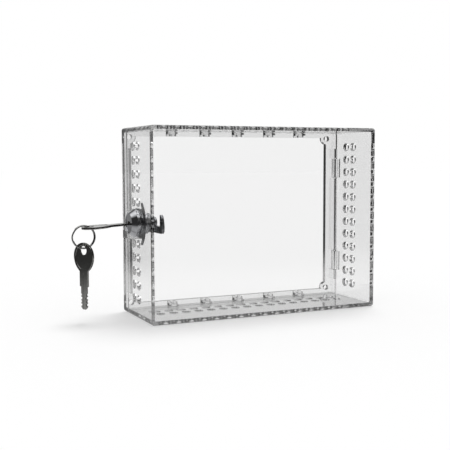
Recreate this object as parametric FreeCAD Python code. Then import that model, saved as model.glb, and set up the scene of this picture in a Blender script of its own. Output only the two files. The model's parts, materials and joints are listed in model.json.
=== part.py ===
import FreeCAD, Part
import math
import os

Vec = FreeCAD.Vector
X_AXIS, Y_AXIS, Z_AXIS = Vec(1, 0, 0), Vec(0, 1, 0), Vec(0, 0, 1)

# Frame: +X right, -Y towards the viewer, +Z up. The origin is the centre of the
# four wall screws, on the back face. All sizes are in millimetres and degrees.

# Guard body
BOX_WIDTH = 168.3
BOX_HEIGHT = 127.0
COVER_DEPTH = 48.8
RIM_DEPTH = 9.6
WALL = 2.5
CORNER_R = 2.0
INSIDE_R = 1.0
EDGE_ROUND = 0.7
JOINT_GAP = 0.2
FIT_GAP = 0.3
CUT_PAST = 1.0

# Vents
VENT_D = 6.0
VENT_PITCH = 9.2
VENT_END = 12.5
VENT_FROM_FRONT = 30.7

# Base ring
FLANGE_T = 3.4
FLANGE_SIDE = 7.4
FLANGE_TOP = 5.6
LIP_T = 1.4
LIP_REACH = 2.6
LIP_END = 14.0
SCREW_D = 4.0
SCREW_IN_X = 6.4
SCREW_IN_Z = 6.2
EAR_R = 4.4
TAB_COUNT = 5
TAB_PITCH = 25.4
TAB_W = 5.3
RIB_T = 1.3

# Hook hinge on the right edge
FINGER_T = 1.8
FINGER_LEN = 14.0
FINGER_Z = 35.0
FINGER_LEG = 6.0
FINGER_WRAP = 83.0
BAR_STEP = 0.5
SLOT_SIDE = 0.5
SLOT_FROM = 75.0
SLOT_SWEEP = 110.0

# Lock barrel and plug. Depths are along the lock axis from the left wall's outer face.
HEAD_D = 19.0
HEAD_H = 4.8
HEAD_FACE_D = 13.8
HEAD_RIM_T = 1.4
BARREL_D = 15.8
BARREL_FLATS = 14.0
BARREL_LEN = 8.0
HOLE_GAP = 0.15
PLUG_D = 11.0
PLUG_GAP = 0.06
SHOULDER_D = 12.2
SHOULDER_T = 1.2
SHOULDER_GAP = 0.05
FACE_RECESS = 0.3
TAIL_SQ = 7.0
TAIL_SHORT = 0.15
DRIVE_GAP = 0.05
STOP_H = 1.0
STOP_IN_R = 6.3
STOP_HALF_ANGLE = 74.0

# Mounting clip
CLIP_T = 1.2
CLIP_REACH = 13.8
CLIP_BOW = 1.8
CLIP_BAND = 2.7
CLIP_LEG = 3.2
CLIP_TAIL = 6.5
CLIP_ROOM = 0.2
CLIP_FIT = 0.05
CLIP_CHAMFER = 1.2
CLIP_FLARE = 0.8
CLIP_TAPER = 4.0
GROOVE_DEPTH = 0.7
GROOVE_ROOM = 0.1

# Wafers
WAFER_COUNT = 4
WAFER_FIRST = -2.4
WAFER_PITCH = 2.2
WAFER_T = 0.9
WAFER_L = 9.1
WAFER_W = 4.8
WAFER_SIDE = 0.1
WAFER_SHIFTS = (-0.2, 0.15, -0.1, 0.2)
WINDOW_SIDE = 0.45
WINDOW_ROOM = 0.1
LUG_W = 0.7
LUG_H = 1.6
LUG_INSET = 0.4
POCKET_L = 6.0
SPRING_D = 0.9

# Cam stack
STOP_WASHER_D = 12.0
STOP_WASHER_T = 0.8
STACK_GAP = 0.1
STOP_TAB_R = 7.6
STOP_TAB_W = 3.2
CAM_T = 1.8
CAM_HUB_R = 6.5
HOOK_INNER = 21.0
HOOK_OUTER = 25.2
HOOK_ARM_TOP = -1.1
HOOK_ARM_W = 4.6
HOOK_TIP_RISE = 6.4
HOOK_TIP_FLAT = 1.4
HOOK_NOSE_FROM = -1.9
HOOK_BEND_R = 3.2
CAM_WASHER_D = 10.8
CAM_WASHER_T = 0.8
CAM_WASHER_GAP = 0.1
SCREW_HEAD_D = 7.6
SCREW_HEAD_H = 2.2
SCREW_DOME = 0.8
CAM_SCREW_D = 3.4
CAM_SCREW_LEN = 3.4
CAM_SCREW_GAP = 0.05
CAM_SCREW_END = 0.3
CROSS_L = 4.0
CROSS_W = 0.9
CROSS_DEPTH = 1.1

# Catch on the base ring, placed from the lock axis
CATCH_GAP = 0.6
CATCH_NIB_L = 3.8
CATCH_NIB_TOP = 0.5
CATCH_DROP = 1.0
CATCH_ARM_H = 4.8
CATCH_SIDE = 1.1

# Keys
KEY_LEN = 43.6
KEY_T = 1.5
BOW_D = 17.6
BOW_LEN = 18.6
BOW_EDGE = 1.7
BOW_RECESS = 0.25
BOW_BAR = 2.2
BOW_HOLE_D = 5.8
NECK_W = 7.2
NECK_LEN = 10.0
BLADE_W = 5.0
BLADE_TIP = 1.6
BLADE_TIP_W = 2.1
KEY_CUTS = (0.6, 1.0, 0.5, 0.9)
CUT_FLAT = 0.7
CUT_SLOPE = 0.5
GROOVE_W = 1.3
KEY_GROOVE = 0.3
GROOVE_START = 1.5
KEY_TIP_DEPTH = 7.3
KEY_DROOP = 3.4
KEYWAY_SIDE = 0.3
KEYWAY_ROOM = 0.12
KEYWAY_DEPTH = 7.6

# Split ring and the spare key on it
RING_OD = 15.6
RING_WIRE = 1.0
RING_TURN_GAP = 0.46
RING_JOG = 50.0
RING_TIP_GAP = 6.0
RING_START = 200.0
RING_ARCS_A_TURN = 4
RING_SAMPLES = 360
RING_SEAT = 0.32
SPARE_SEAT = 0.2
SPARE_SLACK = 0.1
SPARE_TWIST = 28.0

half_w = BOX_WIDTH / 2.0
half_h = BOX_HEIGHT / 2.0
front_y = -(COVER_DEPTH + RIM_DEPTH)
rim_y = -RIM_DEPTH
cover_rear = rim_y - JOINT_GAP
left_x = -half_w
lock_y = front_y + VENT_FROM_FRONT
lip_front = rim_y - LIP_REACH
lip_off = WALL + FIT_GAP
bar_r = WALL + BAR_STEP
finger_in = bar_r + FIT_GAP
finger_out = finger_in + FINGER_T
slot_out = finger_out + FIT_GAP
groove_z = BARREL_FLATS / 2.0 - GROOVE_DEPTH
clip_r = (CLIP_REACH ** 2 + CLIP_BOW ** 2) / (2.0 * CLIP_BOW)
clip_centre = WALL + CLIP_BOW - clip_r
plug_face = -HEAD_H + FACE_RECESS
washer_u = BARREL_LEN + STACK_GAP
cam_u = washer_u + STOP_WASHER_T + STACK_GAP
cam_end = cam_u + CAM_T
screw_seat = cam_end + CAM_WASHER_T
tail_end = cam_end - TAIL_SHORT
bow_u = KEY_TIP_DEPTH - KEY_LEN
blade_start = BOW_LEN + NECK_LEN
hole_a = BOW_BAR + BOW_HOLE_D / 2.0
key_pivot = (KEY_TIP_DEPTH - HEAD_H) / 2.0
key_tilt = (KEY_TIP_DEPTH - key_pivot) * math.tan(math.radians(KEY_DROOP))
keyway_half = KEY_T / 2.0 + key_tilt + KEYWAY_ROOM
ring_r = (RING_OD - RING_WIRE) / 2.0
turn_off = (RING_WIRE + RING_TURN_GAP) / 2.0


def box(x0, x1, y0, y1, z0, z1):
    return Part.makeBox(x1 - x0, y1 - y0, z1 - z0, Vec(x0, y0, z0))


def lock_box(u0, u1, y0, y1, z0, z1):
    """A box in the lock's own frame: u is the depth behind the left wall's outer face."""
    return box(left_x + u0, left_x + u1, lock_y + y0, lock_y + y1, z0, z1)


def lock_cyl(u0, u1, radius):
    return Part.makeCylinder(radius, u1 - u0, Vec(left_x + u0, lock_y, 0), X_AXIS)


def fused(shapes):
    return shapes[0].multiFuse(shapes[1:]).removeSplitter()


def rounded_prism(half_x, half_z, radius, y0, y1):
    body = box(-half_x, half_x, y0, y1, -half_z, half_z)
    along_y = [e for e in body.Edges if abs(e.Vertexes[0].Y - e.Vertexes[1].Y) > 1e-6]
    return body.makeFillet(radius, along_y)


def plate(points, u0, u1):
    wire = Part.makePolygon([Vec(left_x + u0, lock_y + y, z) for y, z in points + points[:1]])
    return Part.Face(wire).extrude(Vec(u1 - u0, 0, 0))


def arc_from(start, tangent, end):
    """The arc that leaves start along tangent and ends at end."""
    chord = end - start
    normal = tangent.cross(chord)
    inward = normal.cross(tangent).normalize()
    radius = chord.dot(chord) / (2.0 * chord.dot(inward))
    centre = start + inward * radius
    middle = ((start + end) * 0.5 - centre).normalize()
    return Part.Arc(start, centre + middle * radius, end)


def vent_stations(length):
    count = int((length - 2.0 * VENT_END) / VENT_PITCH) + 1
    return [(i - (count - 1) / 2.0) * VENT_PITCH for i in range(count)]


def vent_cutters():
    """Two rows of round vents in each wall, except where the lock's head stands."""
    radius = VENT_D / 2.0
    depth = WALL + 2.0 * CUT_PAST
    keep_out = HEAD_D / 2.0 + radius
    cutters = []
    for y in (lock_y - VENT_PITCH / 2.0, lock_y + VENT_PITCH / 2.0):
        for z in vent_stations(BOX_HEIGHT):
            cutters.append(Part.makeCylinder(radius, depth, Vec(half_w + CUT_PAST, y, z), -X_AXIS))
            if math.hypot(y - lock_y, z) > keep_out:
                cutters.append(Part.makeCylinder(radius, depth, Vec(left_x - CUT_PAST, y, z), X_AXIS))
        for x in vent_stations(BOX_WIDTH):
            cutters.append(Part.makeCylinder(radius, depth, Vec(x, y, half_h + CUT_PAST), -Z_AXIS))
            cutters.append(Part.makeCylinder(radius, depth, Vec(x, y, -half_h - CUT_PAST), Z_AXIS))
    return cutters


def double_d(u0, u1, diameter, flats):
    """A cylinder on the lock axis with two flats, above and below."""
    return lock_cyl(u0, u1, diameter / 2.0).common(
        lock_box(u0, u1, -diameter, diameter, -flats / 2.0, flats / 2.0))


def hinge_sector(r_in, r_out, start, sweep, z, length):
    """Part of a tube about the hinge axis, the cover's right rear outer edge."""
    base = Vec(half_w, cover_rear, z - length / 2.0)
    ring = Part.makeCylinder(r_out, length, base, Z_AXIS, sweep)
    ring = ring.cut(Part.makeCylinder(r_in, length, base, Z_AXIS))
    ring.rotate(base, Z_AXIS, start)
    return ring


def hinge_finger(z):
    """A hook on the cover that reaches round a bar of the base's rim."""
    z0, z1 = z - FINGER_LEN / 2.0, z + FINGER_LEN / 2.0
    hook = hinge_sector(finger_in, finger_out, 180.0 - FINGER_WRAP, FINGER_WRAP, z, FINGER_LEN)
    leg = box(half_w - finger_out, half_w - finger_in, cover_rear - FINGER_LEG, cover_rear, z0, z1)
    root = box(half_w - finger_out, half_w - WALL / 2.0,
               cover_rear - FINGER_LEG, cover_rear - FINGER_LEG / 2.0, z0, z1)
    return [hook, leg, root]


def make_cover():
    shell = rounded_prism(half_w, half_h, CORNER_R, front_y, cover_rear)
    front = [e for e in shell.Edges if all(abs(v.Y - front_y) < 1e-6 for v in e.Vertexes)]
    shell = shell.makeFillet(EDGE_ROUND, front)
    shell = shell.cut(rounded_prism(half_w - WALL, half_h - WALL, INSIDE_R, front_y + WALL, 0))
    shell = fused([shell] + hinge_finger(FINGER_Z) + hinge_finger(-FINGER_Z))
    opening = double_d(-CUT_PAST, WALL + CUT_PAST, BARREL_D + 2 * HOLE_GAP, BARREL_FLATS + 2 * HOLE_GAP)
    return shell.cut([opening] + vent_cutters())


def base_lips():
    """Locating lips inside the cover's side walls, with gaps at the hinge fingers."""
    z_end = half_h - LIP_END
    gap = FINGER_LEN / 2.0 + SLOT_SIDE + FIT_GAP
    inner, outer = half_w - lip_off - LIP_T, half_w - lip_off
    spans = [(-z_end, -FINGER_Z - gap), (-FINGER_Z + gap, FINGER_Z - gap), (FINGER_Z + gap, z_end)]
    lips = [box(inner, outer, lip_front, -FLANGE_T, z0, z1) for z0, z1 in spans]
    webs = [box(outer, half_w - WALL, rim_y, -FLANGE_T, z0, z1) for z0, z1 in spans]
    left = [box(-outer, -inner, lip_front, -FLANGE_T, -z_end, z_end),
            box(-half_w + WALL, -outer, rim_y, -FLANGE_T, -z_end, z_end)]
    return lips + webs + left


def base_tabs():
    """Locating tabs inside the cover's top and bottom walls, each on two ribs."""
    shapes = []
    top = half_h - lip_off
    for i in range(TAB_COUNT):
        x0 = (i - (TAB_COUNT - 1) / 2.0) * TAB_PITCH - TAB_W / 2.0
        x1 = x0 + TAB_W
        spans = [(x0, x1, top - LIP_T, top, lip_front), (x0, x1, top, half_h - WALL, rim_y),
                 (x0, x0 + RIB_T, half_h - FLANGE_TOP, top, rim_y),
                 (x1 - RIB_T, x1, half_h - FLANGE_TOP, top, rim_y)]
        for a, b, z0, z1, y0 in spans:
            shapes.append(box(a, b, y0, -FLANGE_T, z0, z1))
            shapes.append(box(a, b, y0, -FLANGE_T, -z1, -z0))
    return shapes


def base_catch():
    """An arm from the base's left side, with the nib that the hook cam drops over."""
    nib_back = HOOK_INNER - CATCH_GAP
    nib_front = nib_back - CATCH_NIB_L
    arm_top = -HOOK_TIP_RISE - CATCH_DROP
    arm_low = arm_top - CATCH_ARM_H
    u0, u1 = cam_u - CATCH_SIDE, cam_end + CATCH_SIDE
    web_front = min(nib_front, lip_front - lock_y)
    web = lock_box(lip_off, u1, web_front, -lock_y, arm_low, arm_top)
    nib = lock_box(u0, u1, nib_front, nib_back, arm_low, CATCH_NIB_TOP)
    return [web, nib]


def screw_places():
    x, z = half_w - SCREW_IN_X, half_h - SCREW_IN_Z
    return [(x, z), (-x, z), (-x, -z), (x, -z)]


def make_base_ring():
    ring = rounded_prism(half_w, half_h, CORNER_R, rim_y, 0)
    ring = ring.cut([
        rounded_prism(half_w - WALL, half_h - WALL, INSIDE_R, rim_y - CUT_PAST, -FLANGE_T),
        rounded_prism(half_w - FLANGE_SIDE, half_h - FLANGE_TOP, INSIDE_R, -FLANGE_T - CUT_PAST, CUT_PAST)])
    ears = [Part.makeCylinder(EAR_R, FLANGE_T, Vec(x, 0, z), -Y_AXIS) for x, z in screw_places()]
    ring = fused([ring] + ears + base_lips() + base_tabs() + base_catch())
    holes = [Part.makeCylinder(SCREW_D / 2.0, FLANGE_T + 2 * CUT_PAST, Vec(x, CUT_PAST, z), -Y_AXIS)
             for x, z in screw_places()]
    slots = [hinge_sector(bar_r, slot_out, SLOT_FROM, SLOT_SWEEP, z, FINGER_LEN + 2 * SLOT_SIDE)
             for z in (FINGER_Z, -FINGER_Z)]
    return ring.cut(holes + slots)


def make_lock_barrel():
    cone = Part.makeCone(HEAD_FACE_D / 2.0, HEAD_D / 2.0, HEAD_H - HEAD_RIM_T,
                         Vec(left_x - HEAD_H, lock_y, 0), X_AXIS)
    rim = lock_cyl(-HEAD_RIM_T, 0, HEAD_D / 2.0)
    body = double_d(0, BARREL_LEN, BARREL_D, BARREL_FLATS)
    stop_end = BARREL_LEN + STOP_H
    stop = Part.makeCylinder(BARREL_D / 2.0, STOP_H, Vec(left_x + BARREL_LEN, lock_y, 0),
                             X_AXIS, 2 * STOP_HALF_ANGLE)
    stop.rotate(Vec(left_x, lock_y, 0), X_AXIS, 180.0 - STOP_HALF_ANGLE)
    stop = stop.common(double_d(BARREL_LEN, stop_end, BARREL_D, BARREL_FLATS))
    groove_u0 = clip_centre + math.sqrt(clip_r ** 2 - (BARREL_FLATS / 2.0) ** 2) - GROOVE_ROOM
    groove_u1 = clip_centre + math.sqrt((clip_r + CLIP_T) ** 2 - groove_z ** 2) + GROOVE_ROOM
    groove = lock_box(groove_u0, groove_u1, -BARREL_D, BARREL_D, groove_z, BARREL_D)
    return fused([cone, rim, body, stop]).cut([
        lock_cyl(-HEAD_H - CUT_PAST, stop_end + CUT_PAST, PLUG_D / 2.0 + PLUG_GAP),
        lock_cyl(-HEAD_H - CUT_PAST, plug_face + SHOULDER_T, SHOULDER_D / 2.0 + PLUG_GAP),
        lock_cyl(BARREL_LEN, stop_end + CUT_PAST, STOP_IN_R),
        groove, groove.mirror(Vec(0, 0, 0), Z_AXIS)])


def make_mounting_clip():
    """A bowed spring steel fork: its legs lie in the barrel's grooves, its ends press on the wall."""
    inner = -(BARREL_D / 2.0 + CLIP_ROOM)
    outer = inner - CLIP_BAND
    leg_in = groove_z + CLIP_FIT
    leg_out = leg_in + CLIP_LEG
    upper = [(inner - CLIP_FLARE, CLIP_REACH), (inner, CLIP_REACH - CLIP_FLARE), (inner, leg_out),
             (CLIP_TAIL - CLIP_CHAMFER, leg_out), (CLIP_TAIL, leg_out - CLIP_CHAMFER),
             (CLIP_TAIL, leg_in), (inner, leg_in)]
    lower = [(y, -z) for y, z in reversed(upper)]
    back = [(outer + CLIP_CHAMFER, -CLIP_REACH), (outer, -CLIP_REACH + CLIP_TAPER),
            (outer, CLIP_REACH - CLIP_TAPER), (outer + CLIP_CHAMFER, CLIP_REACH)]
    middle = Vec(left_x + clip_centre, lock_y + outer, 0)
    wide = CLIP_TAIL - outer
    bowed = Part.makeCylinder(clip_r + CLIP_T, wide, middle, Y_AXIS).cut(
        Part.makeCylinder(clip_r, wide, middle, Y_AXIS))
    return plate(upper + lower + back, WALL, WALL + CLIP_BOW + CLIP_T).common(bowed)


def wafer_places():
    return [WAFER_FIRST + i * WAFER_PITCH for i in range(WAFER_COUNT)]


def make_lock_plug():
    half_sq = TAIL_SQ / 2.0
    plug = fused([
        lock_cyl(plug_face, BARREL_LEN, PLUG_D / 2.0),
        lock_cyl(plug_face, plug_face + SHOULDER_T - SHOULDER_GAP, SHOULDER_D / 2.0),
        lock_box(BARREL_LEN - CUT_PAST, tail_end, -half_sq, half_sq, -half_sq, half_sq)])
    side = BLADE_W / 2.0 + KEYWAY_SIDE
    cuts = [lock_box(plug_face - CUT_PAST, KEYWAY_DEPTH, -side, side, -keyway_half, keyway_half),
            lock_cyl(screw_seat - CAM_SCREW_LEN - CAM_SCREW_END, tail_end + CUT_PAST,
                     CAM_SCREW_D / 2.0 + CAM_SCREW_GAP)]
    half_t, half_wide = WAFER_T / 2.0 + WAFER_SIDE, WAFER_W / 2.0 + WAFER_SIDE
    for u in wafer_places():
        cuts.append(lock_box(u - half_t, u + half_t, -PLUG_D, PLUG_D, -half_wide, half_wide))
        cuts.append(lock_box(u - half_t, u + half_t, -POCKET_L / 2.0, POCKET_L / 2.0, 0, half_wide + LUG_H))
    return plug.cut(cuts)


def lug_start(shift):
    return -POCKET_L / 2.0 + LUG_INSET + shift


def make_wafer(u, shift):
    """One flat wafer with its key window and the lug that its spring pushes."""
    u0, u1 = u - WAFER_T / 2.0, u + WAFER_T / 2.0
    length, wide = WAFER_L / 2.0, WAFER_W / 2.0
    window_y, window_z = BLADE_W / 2.0 + WINDOW_SIDE, keyway_half + WINDOW_ROOM
    body = lock_box(u0, u1, shift - length, shift + length, -wide, wide)
    lug = lock_box(u0, u1, lug_start(shift), lug_start(shift) + LUG_W, 0, wide + LUG_H)
    window = lock_box(u0 - CUT_PAST, u1 + CUT_PAST, shift - window_y, shift + window_y, -window_z, window_z)
    return fused([body, lug]).cut(window)


def make_wafer_springs():
    """Each wafer's spring as the plain cylinder that its fine coil fills."""
    z = WAFER_W / 2.0 + LUG_H / 2.0
    springs = []
    for u, shift in zip(wafer_places(), WAFER_SHIFTS):
        start = lug_start(shift) + LUG_W
        springs.append(Part.makeCylinder(SPRING_D / 2.0, POCKET_L / 2.0 - start,
                                         Vec(left_x + u, lock_y + start, z), Y_AXIS))
    return Part.makeCompound(springs)


def square_hole(u0, u1):
    s = TAIL_SQ / 2.0 + DRIVE_GAP
    return lock_box(u0 - CUT_PAST, u1 + CUT_PAST, -s, s, -s, s)


def make_stop_washer():
    u1 = washer_u + STOP_WASHER_T
    tab = lock_cyl(washer_u, u1, STOP_TAB_R).common(
        lock_box(washer_u, u1, -STOP_TAB_R, 0, -STOP_TAB_W / 2.0, STOP_TAB_W / 2.0))
    return fused([lock_cyl(washer_u, u1, STOP_WASHER_D / 2.0), tab]).cut(square_hole(washer_u, u1))


def make_hook_cam():
    """A stamped plate: a hub on the square tail, an arm from its lower half and a nose that turns up."""
    low = HOOK_ARM_TOP - HOOK_ARM_W

    def p(y, z):
        return Vec(left_x + cam_u, lock_y + y, z)

    root_top, inside = p(0, HOOK_ARM_TOP), p(-HOOK_INNER, HOOK_ARM_TOP)
    tip_in, tip_out = p(-HOOK_INNER, HOOK_TIP_RISE), p(-HOOK_INNER - HOOK_TIP_FLAT, HOOK_TIP_RISE)
    nose, bend_top = p(-HOOK_OUTER, HOOK_NOSE_FROM), p(-HOOK_OUTER, low + HOOK_BEND_R)
    bend_low, root_low = p(-HOOK_OUTER + HOOK_BEND_R, low), p(0, low)
    edges = [Part.makeLine(root_top, inside), Part.makeLine(inside, tip_in), Part.makeLine(tip_in, tip_out),
             arc_from(nose, Z_AXIS, tip_out).toShape(), Part.makeLine(nose, bend_top),
             arc_from(bend_top, -Z_AXIS, bend_low).toShape(),
             Part.makeLine(bend_low, root_low), Part.makeLine(root_low, root_top)]
    arm = Part.Face(Part.Wire(edges)).extrude(Vec(CAM_T, 0, 0))
    return fused([lock_cyl(cam_u, cam_end, CAM_HUB_R), arm]).cut(square_hole(cam_u, cam_end))


def make_cam_washer():
    return lock_cyl(cam_end, screw_seat, CAM_WASHER_D / 2.0).cut(
        lock_cyl(cam_end - CUT_PAST, screw_seat + CUT_PAST, CAM_SCREW_D / 2.0 + CAM_WASHER_GAP))


def make_cam_screw():
    top = screw_seat + SCREW_HEAD_H
    head = lock_cyl(screw_seat, top, SCREW_HEAD_D / 2.0)
    head = head.makeFillet(SCREW_DOME, [e for e in head.Edges if e.BoundBox.XMin > left_x + top - 1e-6])
    shank = lock_cyl(screw_seat - CAM_SCREW_LEN, screw_seat, CAM_SCREW_D / 2.0)
    u0, u1 = top - CROSS_DEPTH, top + CUT_PAST
    cross = [lock_box(u0, u1, -CROSS_W / 2.0, CROSS_W / 2.0, -CROSS_L / 2.0, CROSS_L / 2.0),
             lock_box(u0, u1, -CROSS_L / 2.0, CROSS_L / 2.0, -CROSS_W / 2.0, CROSS_W / 2.0)]
    return fused([head, shank]).cut(cross)


def bow_shape(margin, z0, z1):
    """The egg-shaped bow, drawn in by margin: a half circle, then two arcs to the neck."""
    r, neck = BOW_D / 2.0, NECK_W / 2.0
    flank_r = ((BOW_LEN - r) ** 2 + (r - neck) ** 2) / (2.0 * (r - neck))
    centre = Vec(r, r - flank_r, z0)
    side = Vec(r, r - margin, z0)
    end = centre + (Vec(BOW_LEN, neck, z0) - centre) * (1.0 - margin / flank_r)
    low_side, low_end = Vec(side.x, -side.y, z0), Vec(end.x, -end.y, z0)
    edges = [Part.Arc(low_side, Vec(margin, 0, z0), side).toShape(), arc_from(side, X_AXIS, end).toShape(),
             Part.makeLine(end, low_end), arc_from(low_side, X_AXIS, low_end).toShape()]
    return Part.Face(Part.Wire(edges)).extrude(Vec(0, 0, z1 - z0))


def blade_edge():
    """One edge of the blade from the neck to the tip, with a notch at each wafer."""
    half = BLADE_W / 2.0
    flat = CUT_FLAT / 2.0
    points = [(blade_start - CUT_PAST, half)]
    for u, depth in zip(wafer_places(), KEY_CUTS):
        a, slope = u - bow_u, depth * CUT_SLOPE
        points += [(a - flat - slope, half), (a - flat, half - depth),
                   (a + flat, half - depth), (a + flat + slope, half)]
    return points + [(KEY_LEN - BLADE_TIP, half), (KEY_LEN, BLADE_TIP_W / 2.0)]


def make_key():
    """A flat key along +X from its bow's end, with the cuts on both edges."""
    half_t = KEY_T / 2.0
    neck = box(BOW_LEN - CUT_PAST, blade_start, -NECK_W / 2.0, NECK_W / 2.0, -half_t, half_t)
    edge = blade_edge()
    outline = edge + [(a, -w) for a, w in reversed(edge)]
    wire = Part.makePolygon([Vec(a, w, -half_t) for a, w in outline + outline[:1]])
    key = fused([bow_shape(0, -half_t, half_t), neck, Part.Face(wire).extrude(Vec(0, 0, KEY_T))])
    cuts = [Part.makeCylinder(BOW_HOLE_D / 2.0, KEY_T + 2 * CUT_PAST, Vec(hole_a, 0, -half_t - CUT_PAST))]
    for side in (1, -1):
        outside = side * (half_t + CUT_PAST)
        cuts.append(bow_shape(BOW_EDGE, side * (half_t - BOW_RECESS), outside))
        z0, z1 = sorted((side * (half_t - KEY_GROOVE), outside))
        cuts.append(box(BOW_LEN + GROOVE_START, KEY_LEN + CUT_PAST, -GROOVE_W / 2.0, GROOVE_W / 2.0, z0, z1))
    return key.cut(cuts)


def make_lock_key():
    key = make_key()
    key.translate(Vec(left_x + bow_u, lock_y, 0))
    key.rotate(Vec(left_x + key_pivot, lock_y, 0), Y_AXIS, -KEY_DROOP)
    return key


def ring_centre():
    """The ring hangs on the bar between the key's hole and its end."""
    reach = key_pivot - (bow_u + BOW_BAR / 2.0)
    droop = math.radians(KEY_DROOP)
    u = key_pivot - reach * math.cos(droop)
    bar_z = -reach * math.sin(droop)
    hang = math.sqrt((ring_r - RING_WIRE / 2.0 - RING_SEAT) ** 2 - (BOW_BAR / 2.0) ** 2)
    return Vec(left_x + u, lock_y, bar_z + KEY_T / 2.0 - hang)


def ring_point(angle, offset):
    a = math.radians(angle)
    return ring_centre() + Vec(ring_r * math.cos(a), offset, ring_r * math.sin(a))


def ring_tangent(angle):
    a = math.radians(angle)
    return Vec(-math.sin(a), 0, math.cos(a))


def biarc(p0, t0, p1, t1):
    """Two tangent arcs from p0 along t0 to p1 along t1."""
    v = p1 - p0
    t = t0 + t1
    k = 2.0 * (1.0 - t0.dot(t1))
    d = (-v.dot(t) + math.sqrt(v.dot(t) ** 2 + k * v.dot(v))) / k
    joint = (p0 + t0 * d + p1 - t1 * d) * 0.5
    back = arc_from(p1, -t1, joint)
    middle = back.value((back.FirstParameter + back.LastParameter) / 2.0)
    return [arc_from(p0, t0, joint), Part.Arc(joint, middle, p1)]


def flat_turn(a0, a1, offset):
    """Arcs of one turn of the ring, from angle a0 to a1."""
    step = (a1 - a0) / RING_ARCS_A_TURN
    starts = [a0 + i * step for i in range(RING_ARCS_A_TURN)]
    return [Part.Arc(ring_point(a, offset), ring_point(a + step / 2.0, offset), ring_point(a + step, offset))
            for a in starts]


def ring_path():
    """Two flat turns side by side, joined by a step from one to the other."""
    jog_end = RING_START + 360.0 - RING_TIP_GAP
    jog = jog_end - RING_JOG
    end = jog + 360.0 - RING_TIP_GAP
    step_over = biarc(ring_point(jog, -turn_off), ring_tangent(jog),
                      ring_point(jog_end, turn_off), ring_tangent(jog_end))
    arcs = flat_turn(RING_START, jog, -turn_off) + step_over + flat_turn(jog_end, end, turn_off)
    return Part.Wire([a.toShape() for a in arcs])


def least_self_gap(path):
    """The least gap between stretches of the wire, measured on points along its middle."""
    points = path.discretize(Number=RING_SAMPLES)
    step = path.Length / (RING_SAMPLES - 1)
    skip = int(4.0 * RING_WIRE / step) + 1
    least = min((points[i] - points[j]).Length
                for i in range(RING_SAMPLES) for j in range(i + skip, RING_SAMPLES))
    return least - RING_WIRE


def make_split_ring():
    path = ring_path()
    start = ring_point(RING_START, -turn_off)
    profile = Part.Wire(Part.makeCircle(RING_WIRE / 2.0, start, ring_tangent(RING_START)))
    print("split_ring least gap to itself: %.3f mm" % least_self_gap(path))
    return path.makePipeShell([profile], True, False)


def spare_hole_drop():
    """How far the spare key's hole centre hangs below the ring's lowest wire."""
    twist = math.radians(SPARE_TWIST)
    half_pack = (turn_off + RING_WIRE / 2.0) / math.cos(twist) + KEY_T / 2.0 * math.tan(twist)
    room = (BOW_HOLE_D / 2.0 - SPARE_SEAT) ** 2 - half_pack ** 2
    return math.sqrt(room) - RING_WIRE / 2.0 - SPARE_SLACK


def make_spare_key():
    key = make_key()
    key.translate(Vec(-hole_a, 0, 0))
    key.rotate(Vec(0, 0, 0), Y_AXIS, 90)
    key.rotate(Vec(0, 0, 0), Z_AXIS, SPARE_TWIST)
    key.translate(ring_centre() - Vec(0, 0, ring_r + spare_hole_drop()))
    return key


def build_nodes():
    nodes = {
        "base_ring": make_base_ring(),
        "cover": make_cover(),
        "lock_barrel": make_lock_barrel(),
        "mounting_clip": make_mounting_clip(),
        "lock_plug": make_lock_plug(),
        "wafer_springs": make_wafer_springs(),
        "stop_washer": make_stop_washer(),
        "hook_cam": make_hook_cam(),
        "cam_washer": make_cam_washer(),
        "cam_screw": make_cam_screw(),
        "lock_key": make_lock_key(),
        "split_ring": make_split_ring(),
        "spare_key": make_spare_key(),
    }
    for i, (u, shift) in enumerate(zip(wafer_places(), WAFER_SHIFTS)):
        nodes["wafer_%d" % (i + 1)] = make_wafer(u, shift)
    return nodes


os.makedirs("parts", exist_ok=True)
for name, shape in build_nodes().items():
    print(name, "valid" if shape.isValid() else "NOT VALID", len(shape.Solids), round(shape.Volume, 2))
    shape.exportStep("parts/%s.step" % name)
print("ring centre", ring_centre(), "spare hole drop", spare_hole_drop())
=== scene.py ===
"""Looks of a clear locking wall guard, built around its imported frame."""

import json
import logging
import math
from dataclasses import dataclass
from enum import Enum

import bmesh
import bpy
import numpy as np
from mathutils import Matrix, Vector


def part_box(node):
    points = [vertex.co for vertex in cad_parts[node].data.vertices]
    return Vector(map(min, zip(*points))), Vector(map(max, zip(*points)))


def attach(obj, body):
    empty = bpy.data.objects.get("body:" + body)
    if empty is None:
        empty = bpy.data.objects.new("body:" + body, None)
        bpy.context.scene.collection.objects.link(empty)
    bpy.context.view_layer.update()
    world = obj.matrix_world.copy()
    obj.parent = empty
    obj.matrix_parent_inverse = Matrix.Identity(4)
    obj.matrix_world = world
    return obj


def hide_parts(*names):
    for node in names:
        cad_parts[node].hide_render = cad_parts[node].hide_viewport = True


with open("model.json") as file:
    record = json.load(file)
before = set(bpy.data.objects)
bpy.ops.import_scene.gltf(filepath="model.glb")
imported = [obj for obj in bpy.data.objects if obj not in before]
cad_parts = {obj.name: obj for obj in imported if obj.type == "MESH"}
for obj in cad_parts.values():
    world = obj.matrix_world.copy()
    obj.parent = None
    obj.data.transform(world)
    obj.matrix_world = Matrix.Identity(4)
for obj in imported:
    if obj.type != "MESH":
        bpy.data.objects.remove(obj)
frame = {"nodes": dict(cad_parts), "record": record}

MM = 0.001
# Points nearer than this are one point of a new piece.
SAME_POINT_M = 1e-7
# Ray depths are whole numbers, so this parts none from one or more.
FIRST_BOUNCE = 0.5
LOG = logging.getLogger("guard")


class Body(Enum):
    """The CAD bodies that pieces ride on."""

    BASE = "base"
    COVER = "cover_body"
    PLUG = "plug_body"
    KEY = "key_body"
    RING = "ring_body"
    SPARE = "spare_body"


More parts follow.
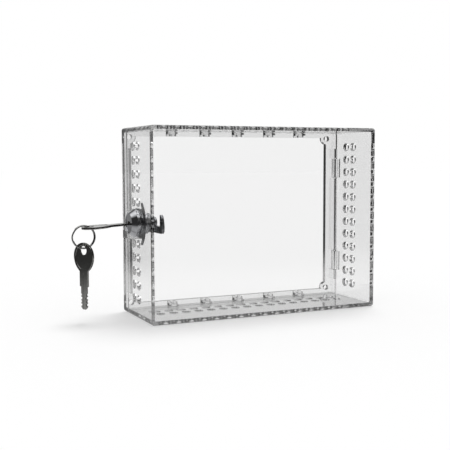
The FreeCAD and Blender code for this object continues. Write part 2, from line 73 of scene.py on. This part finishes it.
class Slot(Enum):
    """The record's material slots."""

    PLASTIC = "clear_plastic"
    CHROME = "lock_chrome"
    SPRING = "spring_steel"
    ZINC = "zinc_steel"
    BRASS = "wafer_brass"
    KEY = "key_nickel"
    RING = "ring_steel"


def linear(code: str) -> tuple[float, float, float, float]:
    """Turns an sRGB hex colour into linear light.

    Args:
        code: six hex digits, with or without a leading hash.

    Returns:
        Linear red, green and blue, and an alpha of 1.
    """
    srgb = np.array([int(code.lstrip("#")[i:i + 2], 16) for i in (0, 2, 4)]) / 255.0
    light = np.where(srgb <= 0.04045, srgb / 12.92, ((srgb + 0.055) / 1.055) ** 2.4)
    return (*(float(c) for c in light), 1.0)


def add_node(tree: bpy.types.NodeTree, kind: str, settings: dict | None = None,
             links: dict | None = None) -> bpy.types.Node:
    """Adds a node with its settings and links.

    Args:
        tree: the node tree it goes into.
        kind: the node's type name without the ShaderNode prefix.
        settings: attributes by name, and input values by the input's name or number.
        links: output sockets by the name or number of the input they go to.

    Returns:
        The new node.
    """
    node = tree.nodes.new("ShaderNode" + kind)
    for key, value in (settings or {}).items():
        if isinstance(key, str) and hasattr(node, key):
            setattr(node, key, value)
        else:
            node.inputs[key].default_value = value
    for key, socket in (links or {}).items():
        tree.links.new(socket, node.inputs[key])
    return node


def new_material(name: str) -> tuple[bpy.types.Material, bpy.types.NodeTree, bpy.types.Node]:
    """Makes an empty node material.

    Args:
        name: the material's name.

    Returns:
        The material, its node tree and its output node.
    """
    material = bpy.data.materials.new(name)
    material.use_nodes = True
    material.node_tree.nodes.clear()
    return material, material.node_tree, add_node(material.node_tree, "OutputMaterial")


@dataclass(frozen=True)
class ClearPlastic:
    """Moulded and polished polycarbonate.

    It is clear, but grey along its edges, where light goes a long way in it.
    """

    name: str = "clear_moulded_polycarbonate"
    tint: str = "FFFFFF"
    ior: float = 1.585
    absorbed_per_mm: float = 0.009
    absorbed_tint: str = "101214"
    flow_mm: float = 22.0
    flow_detail: float = 1.0
    flow_bump: float = 0.15
    flow_depth_mm: float = 0.05
    haze_mm: float = 5.0
    haze_detail: float = 5.0
    haze_from: tuple[float, float] = (0.45, 0.75)
    haze: float = 0.035

    def material(self) -> bpy.types.Material:
        """Builds the plastic: flow waves and faint handling haze on a volume that takes a little light.

        Returns:
            The material.
        """
        material, tree, out = new_material(self.name)
        place = add_node(tree, "TexCoord")
        flow = add_node(tree, "TexNoise",
                        {"Scale": 1.0 / (self.flow_mm * MM), "Detail": self.flow_detail},
                        {"Vector": place.outputs["Object"]})
        smudge = add_node(tree, "TexNoise",
                          {"Scale": 1.0 / (self.haze_mm * MM), "Detail": self.haze_detail},
                          {"Vector": place.outputs["Object"]})
        waves = add_node(tree, "Bump", {"Strength": self.flow_bump, "Distance": self.flow_depth_mm * MM},
                         {"Height": flow.outputs["Fac"]})
        rough = add_node(tree, "MapRange", {
            "From Min": self.haze_from[0], "From Max": self.haze_from[1],
            "To Min": 0.0, "To Max": self.haze}, {"Value": smudge.outputs["Fac"]})
        shader = add_node(tree, "BsdfPrincipled", {
            "Base Color": linear(self.tint), "IOR": self.ior, "Transmission Weight": 1.0},
            {"Roughness": rough.outputs[0], "Normal": waves.outputs[0]})
        inside = add_node(tree, "VolumeAbsorption", {
            "Color": linear(self.absorbed_tint), "Density": self.absorbed_per_mm / MM})
        tree.links.new(shader.outputs[0], out.inputs["Surface"])
        tree.links.new(inside.outputs[0], out.inputs["Volume"])
        return material


@dataclass(frozen=True)
class PlatedMetal:
    """A bare or plated metal whose gloss varies with its grain, drawn coarse enough to show."""

    name: str
    colour: str
    worn: str
    rough_low: float
    rough_high: float
    grain_mm: float
    grain_detail: float = 4.0
    grain_bump: float = 0.03
    grain_depth_mm: float = 0.05

    def material(self) -> bpy.types.Material:
        """Builds the metal: a noise of the grain's size sets its colour, roughness and bump.

        Returns:
            The material.
        """
        material, tree, out = new_material(self.name)
        place = add_node(tree, "TexCoord")
        grain = add_node(tree, "TexNoise",
                         {"Scale": 1.0 / (self.grain_mm * MM), "Detail": self.grain_detail},
                         {"Vector": place.outputs["Object"]})
        colour = add_node(tree, "MixRGB", {"Color1": linear(self.colour), "Color2": linear(self.worn)},
                          {"Fac": grain.outputs["Fac"]})
        rough = add_node(tree, "MapRange", {"To Min": self.rough_low, "To Max": self.rough_high},
                         {"Value": grain.outputs["Fac"]})
        bump = add_node(tree, "Bump", {"Strength": self.grain_bump, "Distance": self.grain_depth_mm * MM},
                        {"Height": grain.outputs["Fac"]})
        shader = add_node(tree, "BsdfPrincipled", {"Metallic": 1.0}, {
            "Base Color": colour.outputs[0], "Roughness": rough.outputs[0], "Normal": bump.outputs[0]})
        tree.links.new(shader.outputs[0], out.inputs["Surface"])
        return material


@dataclass
class Studio:
    """The camera, the pale floor and the soft light."""

    camera_at_mm: tuple[float, float, float] = (-254.0, -540.2, 41.0)
    yaw_deg: float = 24.633
    pitch_deg: float = 4.526
    roll_deg: float = 0.189
    lens_mm: float = 65.07
    sensor_mm: float = 36.0
    clip_m: tuple[float, float] = (0.01, 100.0)
    bounces: int = 24
    # The backdrop as it is seen straight, with the share of the floor that no shadow darkens.
    white: str = "FFFFFF"
    white_level: float = 1.0
    under_part_mm: float = 0.4
    floor_half_m: float = 6.0
    floor_colour: str = "F6F6F6"
    floor_glow: float = 0.5
    # The floor in reflections, with a painted shade near the part and painted light graded from dark in
    # front to bright behind: where the painted shade ends, how bright it is near the part, and how much
    # it glows.
    near_floor_m: tuple[float, float] = (0.12, 0.4)
    near_floor_painted_shade: float = 0.5
    mirrored_glow: float = 0.3
    # The light that falls on the part.
    world_light: float = 0.55
    sun_from: tuple[float, float, float] = (0.24, 0.17, 1.0)
    sun_angle_deg: float = 24.0
    sun_strength: float = 1.78
    # The rest of what reflections see, and the cosines and heights over which it brightens.
    front_to_back_gloss: tuple[float, float] = (0.04, 0.75)
    behind_cosines: tuple[float, float] = (0.5, 1.0)
    top_gloss: float = 1.8
    top_heights: tuple[float, float] = (0.62, 0.9)

    def build_camera(self) -> None:
        """Places the camera that was fitted to the photograph."""
        yaw, pitch = math.radians(self.yaw_deg), math.radians(self.pitch_deg)
        forward = Vector((math.sin(yaw) * math.cos(pitch), math.cos(yaw) * math.cos(pitch),
                          -math.sin(pitch)))
        right = Vector((math.cos(yaw), -math.sin(yaw), 0.0))
        up = right.cross(forward)
        turn = Matrix((right, up, -forward)).transposed()
        data = bpy.data.cameras.new("camera")
        data.lens, data.sensor_width = self.lens_mm, self.sensor_mm
        data.clip_start, data.clip_end = self.clip_m
        camera = bpy.data.objects.new("camera", data)
        camera.matrix_world = (Matrix.Translation(Vector(self.camera_at_mm) * MM) @ turn.to_4x4()
                               @ Matrix.Rotation(-math.radians(self.roll_deg), 4, "Z"))
        bpy.context.scene.collection.objects.link(camera)
        bpy.context.scene.camera = camera

    def sort_rays(self, tree: bpy.types.NodeTree) -> tuple[bpy.types.Node, bpy.types.Node]:
        """Tells rays that see the studio directly, or straight through the plastic, from mirrored ones.

        Args:
            tree: the node tree of the floor's material or of the world.

        Returns:
            A node that gives 1 for straight rays, and a node that gives 1 for mirrored rays.
        """
        path = add_node(tree, "LightPath")
        turns = add_node(tree, "Math", {"operation": "ADD"},
                         {0: path.outputs["Glossy Depth"], 1: path.outputs["Diffuse Depth"]})
        unbent = add_node(tree, "Math", {"operation": "LESS_THAN", 1: FIRST_BOUNCE},
                          {0: turns.outputs[0]})
        through = add_node(tree, "Math", {"operation": "MULTIPLY"},
                           {0: unbent.outputs[0], 1: path.outputs["Is Transmission Ray"]})
        straight = add_node(tree, "Math", {"operation": "MAXIMUM"},
                            {0: path.outputs["Is Camera Ray"], 1: through.outputs[0]})
        mirrored = add_node(tree, "Math", {"operation": "GREATER_THAN", 1: FIRST_BOUNCE},
                            {0: path.outputs["Glossy Depth"]})
        return straight, mirrored

    def front_to_back(self, tree: bpy.types.NodeTree, way: bpy.types.NodeSocket) -> bpy.types.Node:
        """Grades what reflections see, from dark in front of the part to bright behind it.

        Args:
            tree: the node tree of the floor's material or of the world.
            way: the unit vector towards what is seen.

        Returns:
            A node that gives the brightness.
        """
        yaw = math.radians(self.yaw_deg)
        behind = add_node(tree, "VectorMath", {
            "operation": "DOT_PRODUCT", 1: (math.sin(yaw), math.cos(yaw), 0.0)}, {0: way})
        return add_node(tree, "MapRange", {
            "interpolation_type": "SMOOTHSTEP",
            "From Min": self.behind_cosines[0], "From Max": self.behind_cosines[1],
            "To Min": self.front_to_back_gloss[0], "To Max": self.front_to_back_gloss[1]},
            {"Value": behind.outputs["Value"]})

    def build_floor(self) -> None:
        """Lays a pale matt floor: white where nothing shades it. In reflections it carries a painted
        shade near the part, and farther out painted light graded from dark in front to bright behind.

        A thin film of air stays under the cover, so that its lower wall guides light as the others do.
        """
        h, z = self.floor_half_m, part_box("cover")[0][2] - self.under_part_mm * MM
        mesh = bpy.data.meshes.new("floor")
        mesh.from_pydata([(-h, -h, z), (h, -h, z), (h, h, z), (-h, h, z)], [], [(0, 1, 2, 3)])
        floor = bpy.data.objects.new("floor", mesh)
        bpy.context.scene.collection.objects.link(floor)
        material, tree, out = new_material("pale_floor")
        straight, mirrored = self.sort_rays(tree)
        matt = add_node(tree, "BsdfDiffuse", {"Color": linear(self.floor_colour)})
        white = add_node(tree, "Emission", {"Strength": self.white_level})
        share = add_node(tree, "Math", {"operation": "MULTIPLY", 1: self.floor_glow},
                         {0: straight.outputs[0]})
        direct = add_node(tree, "MixShader", {},
                          {0: share.outputs[0], 1: matt.outputs[0], 2: white.outputs[0]})
        place = add_node(tree, "NewGeometry")
        away = add_node(tree, "VectorMath", {"operation": "LENGTH"}, {0: place.outputs["Position"]})
        way = add_node(tree, "VectorMath", {"operation": "NORMALIZE"}, {0: place.outputs["Position"]})
        far = self.front_to_back(tree, way.outputs["Vector"])
        # Painted shade and light: near the part, the floor seen in reflections is set darker than the
        # floor seen straight, and farther out it takes painted light graded from dark in front to bright
        # behind.
        painted_floor_level = add_node(tree, "MapRange", {
            "interpolation_type": "SMOOTHSTEP", "To Min": self.near_floor_painted_shade,
            "From Min": self.near_floor_m[0], "From Max": self.near_floor_m[1]},
            {"Value": away.outputs["Value"], "To Max": far.outputs[0]})
        painted_floor_matt = add_node(tree, "BsdfDiffuse", {}, {"Color": painted_floor_level.outputs[0]})
        painted_floor_glow = add_node(tree, "Emission", {}, {"Strength": painted_floor_level.outputs[0]})
        painted_floor = add_node(tree, "MixShader", {0: self.mirrored_glow},
                         {1: painted_floor_matt.outputs[0], 2: painted_floor_glow.outputs[0]})
        shader = add_node(tree, "MixShader", {},
                          {0: mirrored.outputs[0], 1: direct.outputs[0], 2: painted_floor.outputs[0]})
        tree.links.new(shader.outputs[0], out.inputs["Surface"])
        mesh.materials.append(material)

    def build_world(self) -> None:
        """Sets the world: white where it is seen straight, and a studio in reflections.

        That studio is dark in front of the part, and bright behind it and above.
        """
        world = bpy.data.worlds.new("studio")
        bpy.context.scene.world = world
        world.use_nodes = True
        tree = world.node_tree
        tree.nodes.clear()
        straight, mirrored = self.sort_rays(tree)
        way = add_node(tree, "TexCoord")
        side = self.front_to_back(tree, way.outputs["Generated"])
        parts = add_node(tree, "SeparateXYZ", {}, {0: way.outputs["Generated"]})
        above = add_node(tree, "MapRange", {
            "interpolation_type": "SMOOTHSTEP", "To Min": 0.0, "To Max": self.top_gloss,
            "From Min": self.top_heights[0], "From Max": self.top_heights[1]},
            {"Value": parts.outputs["Z"]})
        gloss = add_node(tree, "Math", {"operation": "ADD"}, {0: side.outputs[0], 1: above.outputs[0]})
        light = add_node(tree, "Mix", {"data_type": "FLOAT", 2: self.world_light},
                         {0: mirrored.outputs[0], 3: gloss.outputs[0]})
        level = add_node(tree, "Mix", {"data_type": "FLOAT", 3: self.white_level},
                         {0: straight.outputs[0], 2: light.outputs[0]})
        back = add_node(tree, "Background", {"Color": linear(self.white)}, {"Strength": level.outputs[0]})
        out = add_node(tree, "OutputWorld")
        tree.links.new(back.outputs[0], out.inputs["Surface"])

    def build_sun(self) -> None:
        """Hangs one broad soft sun above the right rear."""
        data = bpy.data.lights.new("soft_sun", "SUN")
        data.energy, data.angle = self.sun_strength, math.radians(self.sun_angle_deg)
        sun = bpy.data.objects.new("soft_sun", data)
        sun.rotation_mode = "QUATERNION"
        sun.rotation_quaternion = (-Vector(self.sun_from)).to_track_quat("-Z", "Y")
        sun.visible_camera = sun.visible_transmission = sun.visible_glossy = False
        bpy.context.scene.collection.objects.link(sun)

    def build(self) -> None:
        """Sets up the whole studio, with bounces enough for light to cross the box's walls."""
        scene = bpy.context.scene
        scene.view_settings.view_transform = "Standard"
        cycles = scene.cycles
        cycles.max_bounces = cycles.transmission_bounces = cycles.glossy_bounces = self.bounces
        self.build_camera()
        self.build_floor()
        self.build_world()
        self.build_sun()


# The cover's clear moulding: what is behind shows through it, and its edges draw its outline.
PLASTIC = ClearPlastic()
# The base ring's moulding: a shade greyer, so that it frames the opening.
RIM_PLASTIC = ClearPlastic("grey_moulded_polycarbonate", absorbed_per_mm=0.035)
# Bright plate over a die-cast lock: nearly a mirror, so it shows the dark side of the studio.
CHROME = PlatedMetal("bright_chrome_on_zinc", "C9CACD", "AFB0B3", 0.05, 0.13, 1.6)
# Hardened strip with a film of oil: mid grey, with a soft sheen.
SPRING = PlatedMetal("oiled_spring_steel", "8A8B8E", "6C6D70", 0.22, 0.4, 0.8)
# Zinc-plated stampings: grey and half glossy, with a faint mottle.
ZINC = PlatedMetal("dark_zinc_plate", "ABACAF", "88898C", 0.2, 0.36, 1.1)
# Stamped brass wafers: yellow, dulled in patches.
BRASS = PlatedMetal("stamped_brass", "D2B06A", "A8843F", 0.25, 0.4, 0.7)
# Nickel on brass keys: smooth and glossy, and black where it mirrors the front of the studio.
KEY = PlatedMetal("dark_nickel_plate", "B2B2B0", "92928F", 0.1, 0.22, 1.2)
# Drawn spring wire under nickel: smooth, and a shade darker than the keys.
RING = PlatedMetal("nickel_plated_wire", "A2A2A0", "7F7F7D", 0.12, 0.25, 0.6)

FINISHES = {Slot.PLASTIC: PLASTIC, Slot.CHROME: CHROME, Slot.SPRING: SPRING, Slot.ZINC: ZINC,
            Slot.BRASS: BRASS, Slot.KEY: KEY, Slot.RING: RING}


def coat(mesh: bpy.types.Mesh, material: bpy.types.Material) -> None:
    """Gives a mesh one material in place of those it has."""
    mesh.materials.clear()
    mesh.materials.append(material)


class Paint:
    """Makes the material of each slot once and hands it out."""

    def __init__(self) -> None:
        """Builds the materials of all slots, and notes each node's slot."""
        self.made = {slot: finish.material() for slot, finish in FINISHES.items()}
        self.slots = {part["node"]: Slot(part["material_slot"]) for part in frame["record"]["subparts"]}

    def put(self, mesh: bpy.types.Mesh, slot: Slot) -> None:
        """Gives a mesh the material of a slot."""
        coat(mesh, self.made[slot])


def new_piece(name: str, points: np.ndarray, quads: np.ndarray) -> bpy.types.Object:
    """Makes a smooth closed piece from a grid, with its collapsed ends welded.

    Args:
        name: the piece's name.
        points: vertex places in metres, n by 3.
        quads: vertex numbers, m by 4.

    Returns:
        The new object, at the origin.
    """
    mesh = bpy.data.meshes.new(name)
    mesh.from_pydata(points, [], quads.tolist())
    shape = bmesh.new()
    shape.from_mesh(mesh)
    bmesh.ops.remove_doubles(shape, verts=shape.verts, dist=SAME_POINT_M)
    bmesh.ops.recalc_face_normals(shape, faces=shape.faces)
    shape.to_mesh(mesh)
    shape.free()
    mesh.polygons.foreach_set("use_smooth", np.ones(len(mesh.polygons), dtype=bool))
    piece = bpy.data.objects.new(name, mesh)
    bpy.context.scene.collection.objects.link(piece)
    return piece


def grid_quads(rows: int, around: int, first: int = 0) -> np.ndarray:
    """Numbers the quads of a grid that is open along its rows and closed around.

    Args:
        rows: points along the grid.
        around: points around it.
        first: the number of its first point.

    Returns:
        Vertex numbers, (rows - 1) * around by 4.
    """
    i, j = np.meshgrid(np.arange(rows - 1), np.arange(around), indexing="ij")
    k = (j + 1) % around
    corners = [i * around + j, i * around + k, (i + 1) * around + k, (i + 1) * around + j]
    return first + np.stack(corners, axis=-1).reshape(-1, 4)


@dataclass
class SubAssembly:
    """Nodes that belong together, and how the edges of the stamped ones are broken."""

    nodes: tuple[str, ...]
    stamped: tuple[str, ...] = ()
    edge_mm: float = 0.0
    edge_steps: int = 2
    edge_angle_deg: float = 40.0
    flat_angle_deg: float = 0.5
    weld_mm: float = 0.001

    def break_edges(self, node: bpy.types.Object) -> None:
        """Rounds a node's sharp edges by a weld, whole flat faces and a narrow bevel.

        Args:
            node: the CAD node's object, whose mesh stays as it is.
        """
        weld = node.modifiers.new("weld", "WELD")
        weld.merge_threshold = self.weld_mm * MM
        flat = node.modifiers.new("flat", "DECIMATE")
        flat.decimate_type, flat.angle_limit = "DISSOLVE", math.radians(self.flat_angle_deg)
        bevel = node.modifiers.new("edge", "BEVEL")
        bevel.width, bevel.segments = self.edge_mm * MM, self.edge_steps
        bevel.limit_method, bevel.angle_limit = "ANGLE", math.radians(self.edge_angle_deg)
        bevel.harden_normals = True

    def dress(self, paint: Paint) -> None:
        """Gives each node its finish and breaks the edges of stampings.

        Args:
            paint: the materials by slot.
        """
        for name in self.nodes:
            node, slot = frame["nodes"][name], paint.slots[name]
            paint.put(node.data, slot)
            if name in self.stamped:
                self.break_edges(node)
            LOG.info("dressed %s in %s", name, slot.value)


@dataclass
class GuardShell(SubAssembly):
    """The clear base ring and cover."""

    nodes: tuple[str, ...] = ("base_ring", "cover")

    def dress(self, paint: Paint) -> None:
        """Dresses both shells, then the base ring in the greyer plastic.

        Args:
            paint: the materials by slot.
        """
        super().dress(paint)
        coat(frame["nodes"]["base_ring"].data, RIM_PLASTIC.material())


@dataclass
class CamLock(SubAssembly):
    """The lock: barrel, clip, plug, wafers with their springs, and the cam stack."""

    wafers: tuple[str, ...] = ("wafer_1", "wafer_2", "wafer_3", "wafer_4")
    nodes: tuple[str, ...] = ("lock_barrel", "mounting_clip", "lock_plug", *wafers, "wafer_springs",
                              "stop_washer", "hook_cam", "cam_washer", "cam_screw")
    stamped: tuple[str, ...] = ("mounting_clip", "hook_cam", "stop_washer", "cam_washer")
    edge_mm: float = 0.12
    lug_side_mm: float = 1.9
    coil_r_mm: float = 0.36
    wire_r_mm: float = 0.08
    coils: float = 9.0
    rows: int = 260
    around: int = 8

    def coil(self, axis_x: float, axis_z: float, y0: float, y1: float) -> np.ndarray:
        """Works out one coil spring along Y.

        The middle of the wire is a helix, x + R cos(a), y, z + R sin(a), with the angle a rising evenly
        from y0 to y1. Round it goes a circle in the plane of the helix's radius and its binormal. Within
        one wire radius w of an end, at the share s of it, its size is w sqrt(1 - (1 - s)^2), so that the
        ends close, and elsewhere it is w.

        Args:
            axis_x: the coil axis's X.
            axis_z: the coil axis's Z.
            y0: where it starts.
            y1: where it ends.

        Returns:
            The surface's points, rows * around by 3.
        """
        radius, wire = self.coil_r_mm * MM, self.wire_r_mm * MM
        whole_angle = 2.0 * np.pi * self.coils
        t = np.linspace(0.0, 1.0, self.rows)
        angle = whole_angle * t
        rise = (y1 - y0 - 2.0 * wire) / whole_angle
        middle = np.stack([axis_x + radius * np.cos(angle), y0 + wire + rise * angle,
                           axis_z + radius * np.sin(angle)], axis=-1)
        out = np.stack([np.cos(angle), np.zeros_like(angle), np.sin(angle)], axis=-1)
        along = np.stack([-radius * np.sin(angle), np.full_like(angle, rise),
                          radius * np.cos(angle)], axis=-1)
        along /= np.linalg.norm(along, axis=1, keepdims=True)
        across = np.cross(along, out)
        length = whole_angle * math.hypot(radius, rise)
        near = np.clip(np.minimum(t, 1.0 - t) * length / wire, 0.0, 1.0)
        size = wire * np.sqrt(1.0 - (1.0 - near) ** 2)
        turn = np.linspace(0.0, 2.0 * np.pi, self.around, endpoint=False)
        ring = out[:, None] * np.cos(turn)[None, :, None] + across[:, None] * np.sin(turn)[None, :, None]
        return (middle[:, None] + ring * size[:, None, None]).reshape(-1, 3)

    def build_springs(self, paint: Paint) -> None:
        """Winds the four wafer springs in place of their plain solids.

        Each starts lug_side_mm in front of its wafer's middle and ends where the plain solids do.

        Args:
            paint: the materials by slot.
        """
        low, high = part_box("wafer_springs")
        axis_z = (low[2] + high[2]) / 2.0
        points, quads = [], []
        for n, name in enumerate(self.wafers):
            a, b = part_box(name)
            start = (a[1] + b[1]) / 2.0 - self.lug_side_mm * MM
            points.append(self.coil((a[0] + b[0]) / 2.0, axis_z, start, high[1]))
            quads.append(grid_quads(self.rows, self.around, n * self.rows * self.around))
        piece = new_piece("wafer_coil_springs", np.concatenate(points), np.concatenate(quads))
        paint.put(piece.data, Slot.SPRING)
        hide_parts("wafer_springs")
        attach(piece, Body.PLUG.value)
        LOG.info("wound %s", piece.name)


@dataclass
class KeySet(SubAssembly):
    """The two keys and the split ring that joins them."""

    nodes: tuple[str, ...] = ("lock_key", "split_ring", "spare_key")
    stamped: tuple[str, ...] = ("lock_key", "spare_key")
    edge_mm: float = 0.15


def main() -> None:
    """Builds the studio and the pieces."""
    logging.basicConfig(level=logging.INFO, format="%(name)s: %(message)s")
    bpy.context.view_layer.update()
    Studio().build()
    paint = Paint()
    lock = CamLock()
    for assembly in (GuardShell(), lock, KeySet()):
        assembly.dress(paint)
    lock.build_springs(paint)


if __name__ == "__main__":
    main()
